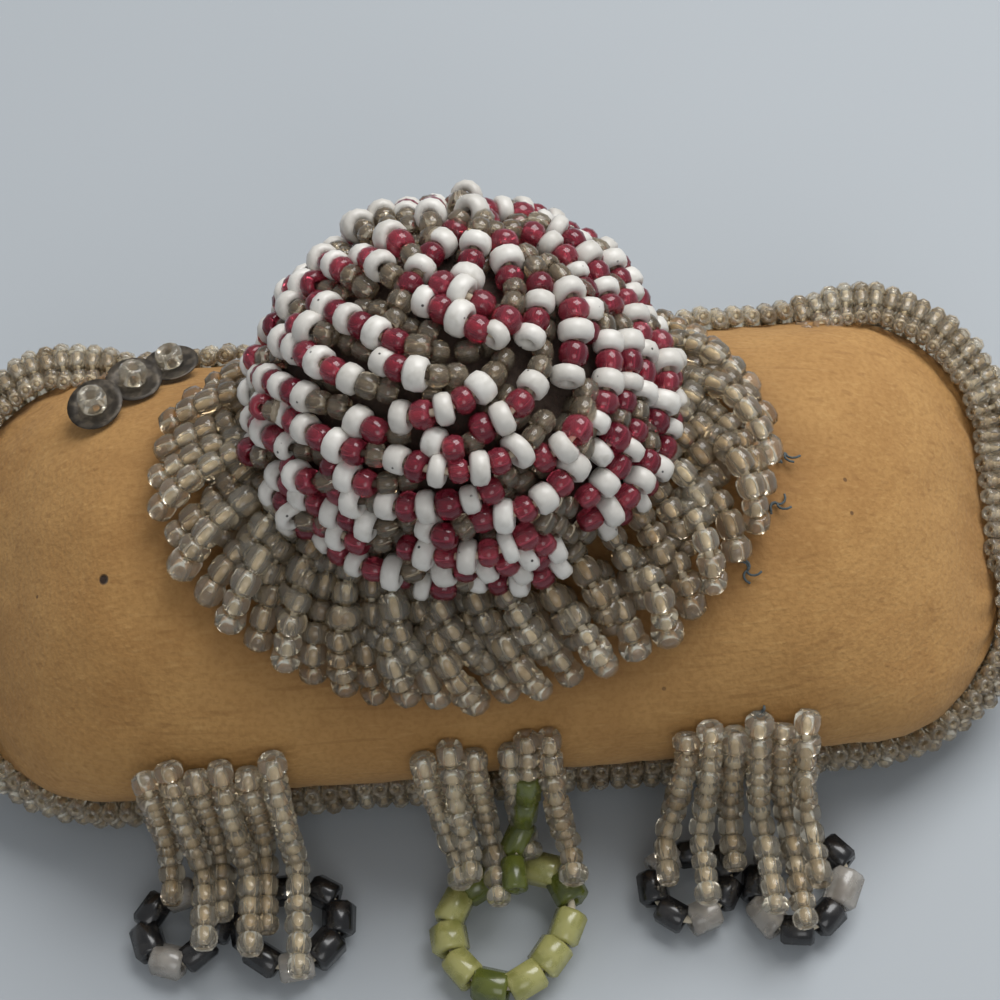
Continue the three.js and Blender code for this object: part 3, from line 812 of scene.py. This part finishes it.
# Rounds of strands: how many, the tries for each, 1 for the snuggest try or -1 for the loosest, the most that it may
# rise over others, its depth in the pad, its clear beads, how close beads come, and its lengths in beads.
strand_rounds = ((60, 60, 1, 0.12, 0.3, 2, 0.82, (5, 6, 7)),
                 (45, 160, -1, 0.6, 0.3, 2, 0.76, (3, 4, 5)),
                 (50, 260, -1, 0.8, 0.4, 1, 0.72, (2, 3)),
                 (60, 120, -1, 0.3, 1.3, 0, 0.60, (2, 3)))
for strands, tries, pick, most, inset, tail, closeness, lengths in strand_rounds:
    for _ in range(strands):
        laid_tree = kdtree.KDTree(len(laid))
        for i, (centre, wide) in enumerate(laid):
            laid_tree.insert(centre, i)
        laid_tree.balance()
        found = [strand_try(most, inset, tail, closeness, lengths, rng) for _ in range(tries)]
        found = [one for one in found if one]
        if not found:
            continue
        gaps, kinds, route, rises = min(found, key=lambda one: pick * one[0])
        beads = len(rises)
        swell = rng.uniform(0.1, 1.0) if tail else 0.0
        path = []
        for k, spot in enumerate(route):
            at = min(max((k - 3) / steps_a_bead, 0.0), beads - 1.0)
            below, above = rises[int(at)], rises[min(int(at) + 1, beads - 1)]
            rise = below + (above - below) * (at - int(at))
            arch = swell * math.sin(math.pi * at / beads)
            dive = max(0.0, (k - steps_a_bead * (beads - 0.5)) / steps_a_bead)
            path.append(on_dome(*spot, inset - rise - arch + 0.75 * dive))
        sizes = [[size * rng.uniform(0.9, 1.1) for size in bead_sizes[kind]] for kind in kinds]
        places = strung(path, sizes, rng, 0.15)
        for kind, size, place in zip(kinds, sizes, places):
            # Clear beads lie in the gaps between strands and keep to the dull, darker end of the glass colour:
            # painted shade.
            tone = rng.random() * (0.4 if kind == "clear" else 1.0)
            rose_heaps[kind].append((bead_shapes[kind], place, tone))
            laid.append((place.translation, size[0]))
        if tail:
            spots = [place.translation for place in places]
            rose_threads.append(spots[:beads])
            rose_tails.append(spots[beads - 1:])

white_paint = Paint("white_bead", coat_weight=0.1, coat_roughness=0.2)
white_dirt = white_paint.noise(900, 2).ramp(0.52, 0.78)
white_cells = white_paint.node("TexVoronoi", "Distance", Vector=white_paint.place(), Scale=950.0)
white_speck = 1 - white_cells.ramp(0.07, 0.13)
white_some = white_paint.noise(420, 1).ramp(0.56, 0.60)
white_base = white_paint.mix(white_paint.attribute("tone"), (0.65, 0.62, 0.565), (0.78, 0.755, 0.70))
white_base = white_paint.mix(white_dirt * 0.4, white_base, (0.42, 0.39, 0.33))
white_paint.set("Base Color", white_paint.mix(white_speck * white_some, white_base, (0.05, 0.045, 0.04)))
white_paint.set("Roughness", 0.38 + white_dirt * 0.3)
white_paint.bump(white_paint.noise(800, 1), 0.0002, 0.4)
red_paint = Paint("red_bead", roughness=0.08, transmission_weight=0.75, ior=1.5)
red_tone = red_paint.mix(red_paint.attribute("tone"), (0.40, 0.036, 0.072), (0.68, 0.110, 0.160))
red_cloud = red_paint.noise(1200, 1).ramp(0.5, 0.8)
red_paint.set("Base Color", red_paint.mix(red_cloud * 0.4, red_tone, (0.16, 0.008, 0.025)))
red_paint.bump(red_paint.noise(800, 0), 0.0002, 0.3)
slots = {s["node"]: s["material_slot"] for s in frame["record"]["subparts"]}
white_piece = gathered("rose_white_beads", rose_heaps["white"], white_paint.material)
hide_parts(*[n for n in slots if n.startswith("rose_strand") and slots[n] == "white_bead"])
red_piece = gathered("rose_red_beads", rose_heaps["red"], red_paint.material)
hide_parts(*[n for n in slots if n.startswith("rose_strand") and slots[n] == "red_bead"])
clear_piece = gathered("rose_clear_beads", rose_heaps["clear"], glass_paint.material)
rose_tails = [spots for spots in rose_tails if len(spots) > 1]
# The tails' threads take tone 0: painted shade where they go down into the gaps between strands.
rose_thread = gathered("rose_thread", cord_mesh(rose_threads, rose_cord) + cord_mesh(rose_tails, rose_cord, 0.0),
                       thread_paint.material)

# Sprig: three small stamped sequins in a row towards the ruff, their metal gone dark. Each is a shallow cup, held
# down by one clear bead on the stitch through its middle.
sequin_profile = [(0.4, 0.0), (1.2, 0.02), (1.8, 0.10), (2.38, 0.36),
                  (2.4, 0.48), (1.8, 0.26), (1.2, 0.17), (0.4, 0.15)]
sequin_shape = spun(sequin_profile, 28)
sequin_paint = Paint("sequin", metallic=0.5)
sequin_rust = sequin_paint.noise(1100, 4)
sequin_wear = sequin_rust.ramp(0.42, 0.68)
sequin_paint.set("Base Color", sequin_paint.mix(sequin_wear, (0.050, 0.042, 0.033), (0.135, 0.112, 0.085)))
sequin_paint.set("Roughness", 0.35 + sequin_rust * 0.3)
sequin_paint.bump(sequin_rust, 0.0002, 0.5)
sprig_x, sprig_along, sequin_lift = -30.2, 9.7, 0.9
stud_lift, stud_radius, stud_length = 1.15, 1.25, 1.8
rng = random.Random(5)
for i in range(3):
    x, along = sprig_x + 2.7 * i, sprig_along + 3.2 * i
    spot, normal = over_front(x, along, sequin_lift), on_panel(front_section, 1, x, along)[1]
    normal = (normal + Vector((rng.uniform(0.0, 0.2), -0.4, 0.1))).normalized()
    lay = Matrix.Translation(spot) @ normal.to_track_quat("Z", "Y").to_matrix().to_4x4()
    cup = gathered(f"sequin_cup_{i + 1}", [(sequin_shape, lay, 0.5)], sequin_paint.material)
    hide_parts(f"sequin_{i + 1}")
    place = threaded(spot + normal * stud_lift, normal, stud_radius, stud_length, rng, 0.2)
    bead = gathered(f"sequin_top_{i + 1}", [(large_bead, place, 1.0)], glass_paint.material)
    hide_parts(f"sequin_bead_{i + 1}")

# Tassels: strings of clear beads, sewn to one place on the belly, that fall over loops of large cut beads. The loops
# lie on the table: two of black and pale beads at each outer tassel, one of green and yellow at the middle one.
tassels = {"left": -22.4, "middle": 0.0, "right": 20.5}
string_radius, loop_bead, loop_radius, floor_gap = 1.15, 3.6, 5.2, 0.3
nearmost = belly_centre.x - belly_radius - seat - string_radius
root_height = front_section(-24.2).y
loop_top = floor_gap + loop_bead + seat
string_end = Vector((nearmost - 3.2, loop_top + string_radius))
cut_profile = [(0.30, -0.47), (0.80, -0.50), (0.98, -0.40), (1.0, 0.40), (0.82, 0.50), (0.30, 0.47)]
cut_bead = spun(cut_profile, 6)
loop_paints = {}
for kind, clarity, fresh, worn in (("black", 0.0, (0.008, 0.008, 0.009), (0.035, 0.032, 0.030)),
                                   ("pale", 0.55, (0.66, 0.62, 0.56), (0.42, 0.38, 0.33)),
                                   ("green", 0.35, (0.185, 0.215, 0.035), (0.095, 0.120, 0.020)),
                                   ("yellow", 0.3, (0.56, 0.54, 0.20), (0.34, 0.34, 0.085))):
    paint = Paint(kind + "_cut_bead", transmission_weight=clarity, ior=1.5, coat_weight=0.4, coat_roughness=0.06)
    wear = paint.noise(700, 4)
    paint.set("Base Color", paint.mix(wear.ramp(0.4, 0.75), fresh, worn))
    paint.set("Roughness", 0.14 + wear * 0.25)
    loop_paints[kind] = paint
fall = [Vector((nearmost, root_height + (string_end.y + 5 - root_height) * i / 10)) for i in range(10)]
fall += curved(Vector((nearmost, string_end.y + 5)), Vector((nearmost, string_end.y)), string_end, 20)
# Strings: where each starts and ends across the tassel, and how far it runs on over the loops.
hangs = {
    "left": ((-5.2, -5.0, 3.2), (-3.2, -2.2, 6.0), (-1.2, -0.8, 4.4), (0.8, 1.6, 7.4), (2.9, 2.9, 5.2),
             (5.0, 5.6, 9.4)),
    "middle": ((-5.4, -3.4, 2.6), (-3.2, -2.4, 3.2), (-1.3, -0.3, 4.2), (3.0, 1.2, 4.6), (1.6, 2.6, 1.2),
               (4.8, 6.0, 4.0)),
    "right": ((-4.7, -6.6, 4.2), (-2.8, -3.6, 6.4), (-0.8, -1.0, 3.4), (1.1, 1.7, 7.0), (3.0, 4.0, 8.6),
              (4.9, 5.6, 4.6)),
}
# Loops: their place across and away from the strings, their radius, the turn where they start, and their beads.
loops = {
    "left": ((-4.6, 2.6, 3.0, 0.4, ("black", "pale", "black", "black", "pale", "black", "black")),
             (4.6, 1.8, 3.6, 1.2, ("black", "pale", "black", "black", "pale", "black", "black", "black"))),
    "middle": ((0.4, 0.2, 5.0, 0.2, ("green", "yellow", "yellow", "green", "yellow", "yellow", "yellow", "green",
                                     "yellow", "yellow", "yellow")),),
    "right": ((-4.6, 2.7, 3.0, 0.9, ("black", "pale", "black", "black", "pale", "black", "black")),
              (4.5, 1.7, 3.6, 0.3, ("black", "black", "pale", "black", "pale", "black", "black", "pale"))),
}
root_along, root_lift, root_step, depth_step, foot_step = -23.4, 0.9, 0.9, 1.1, 0.6
string_bead, string_pitch, string_most, string_cord = 1.14, 1.7, 24, 0.38
stem_string, stem_start, stem_tube = 3, 2, (1.12, 3.3)
loop_thick = {"left": 1.48, "middle": 1.6, "right": 1.48}
run_steps, ring_steps = 5, 72
rng = random.Random(71)
for side, middle in tassels.items():
    body = f"{side}_tassel"
    heaps = {"black": [], "pale": [], "green": [], "yellow": []}
    beads, threads = [], []
    for i, (top, foot, extra) in enumerate(hangs[side]):
        odd = i % 2
        nudge = rng.uniform(-0.6, 0.0) - depth_step * odd
        path = [over_front(middle + top, root_along + root_step * odd + rng.uniform(-0.3, 0.3), root_lift)]
        for k, spot in enumerate(fall):
            share = k / (len(fall) - 1)
            x = middle + top + (foot - top) * share ** 1.4
            path.append(Vector((x, spot.x + nudge * math.sin(math.pi * share), spot.y + foot_step * odd * share)))
        for _ in range(run_steps):
            path.append(path[-1] + Vector((0.05 * (foot - top) / run_steps, -extra / run_steps, -0.05)))
        tone = rng.random()
        stem = side == "middle" and i == stem_string
        sizes = []
        for k in range(string_most):
            if stem and k > stem_start:
                sizes.append(stem_tube)
            else:
                sizes.append((string_bead * rng.uniform(0.87, 1.08), string_pitch * rng.uniform(0.75, 1.2)))
        places = strung(path, sizes, rng)
        for k, place in enumerate(places):
            if stem and k > stem_start:
                heaps["green"].append((cut_bead, place, 0.5))
            else:
                grade = 0.45 + tone + rng.uniform(-0.35, 0.35)
                beads.append((medium_bead, place, min(1.0, max(0.0, grade))))
        threads.append([place.translation for place in places])
    for across, away, radius, start, kinds in loops[side]:
        thick = loop_thick[side]
        centre = Vector((middle + across, string_end.x - loop_radius + away, floor_gap + thick))
        ring = []
        for k in range(ring_steps + 1):
            angle = start + 2 * math.pi * k / ring_steps
            out = radius * (1 + 0.09 * math.sin(2 * angle + start) + 0.05 * math.sin(3 * angle))
            tilt = 0.12 * (1 + math.cos(angle - 2 * start))
            ring.append(centre + Vector((math.cos(angle), math.sin(angle), tilt)) * out)
        whole = sum((after - before).length for before, after in zip(ring, ring[1:]))
        sizes = [(thick * rng.uniform(0.88, 1.0), whole / len(kinds) * rng.uniform(0.95, 1.05)) for _ in kinds]
        for kind, place in zip(kinds, strung(ring, sizes, rng, 0.05)):
            heaps[kind].append((cut_bead, place, rng.random()))
        threads.append(ring[::3])
    strings = gathered(f"{side}_tassel_beads", beads, glass_paint.material, body)
    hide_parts(f"{side}_tassel_strings")
    thread = gathered(f"{side}_tassel_thread", cord_mesh(threads, string_cord), thread_paint.material, body)
    for kind, heap in heaps.items():
        if heap:
            loop = gathered(f"{side}_loop_{kind}", heap, loop_paints[kind].material, body)
            if kind in ("black", "green"):
                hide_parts(f"{side}_tassel_loop")
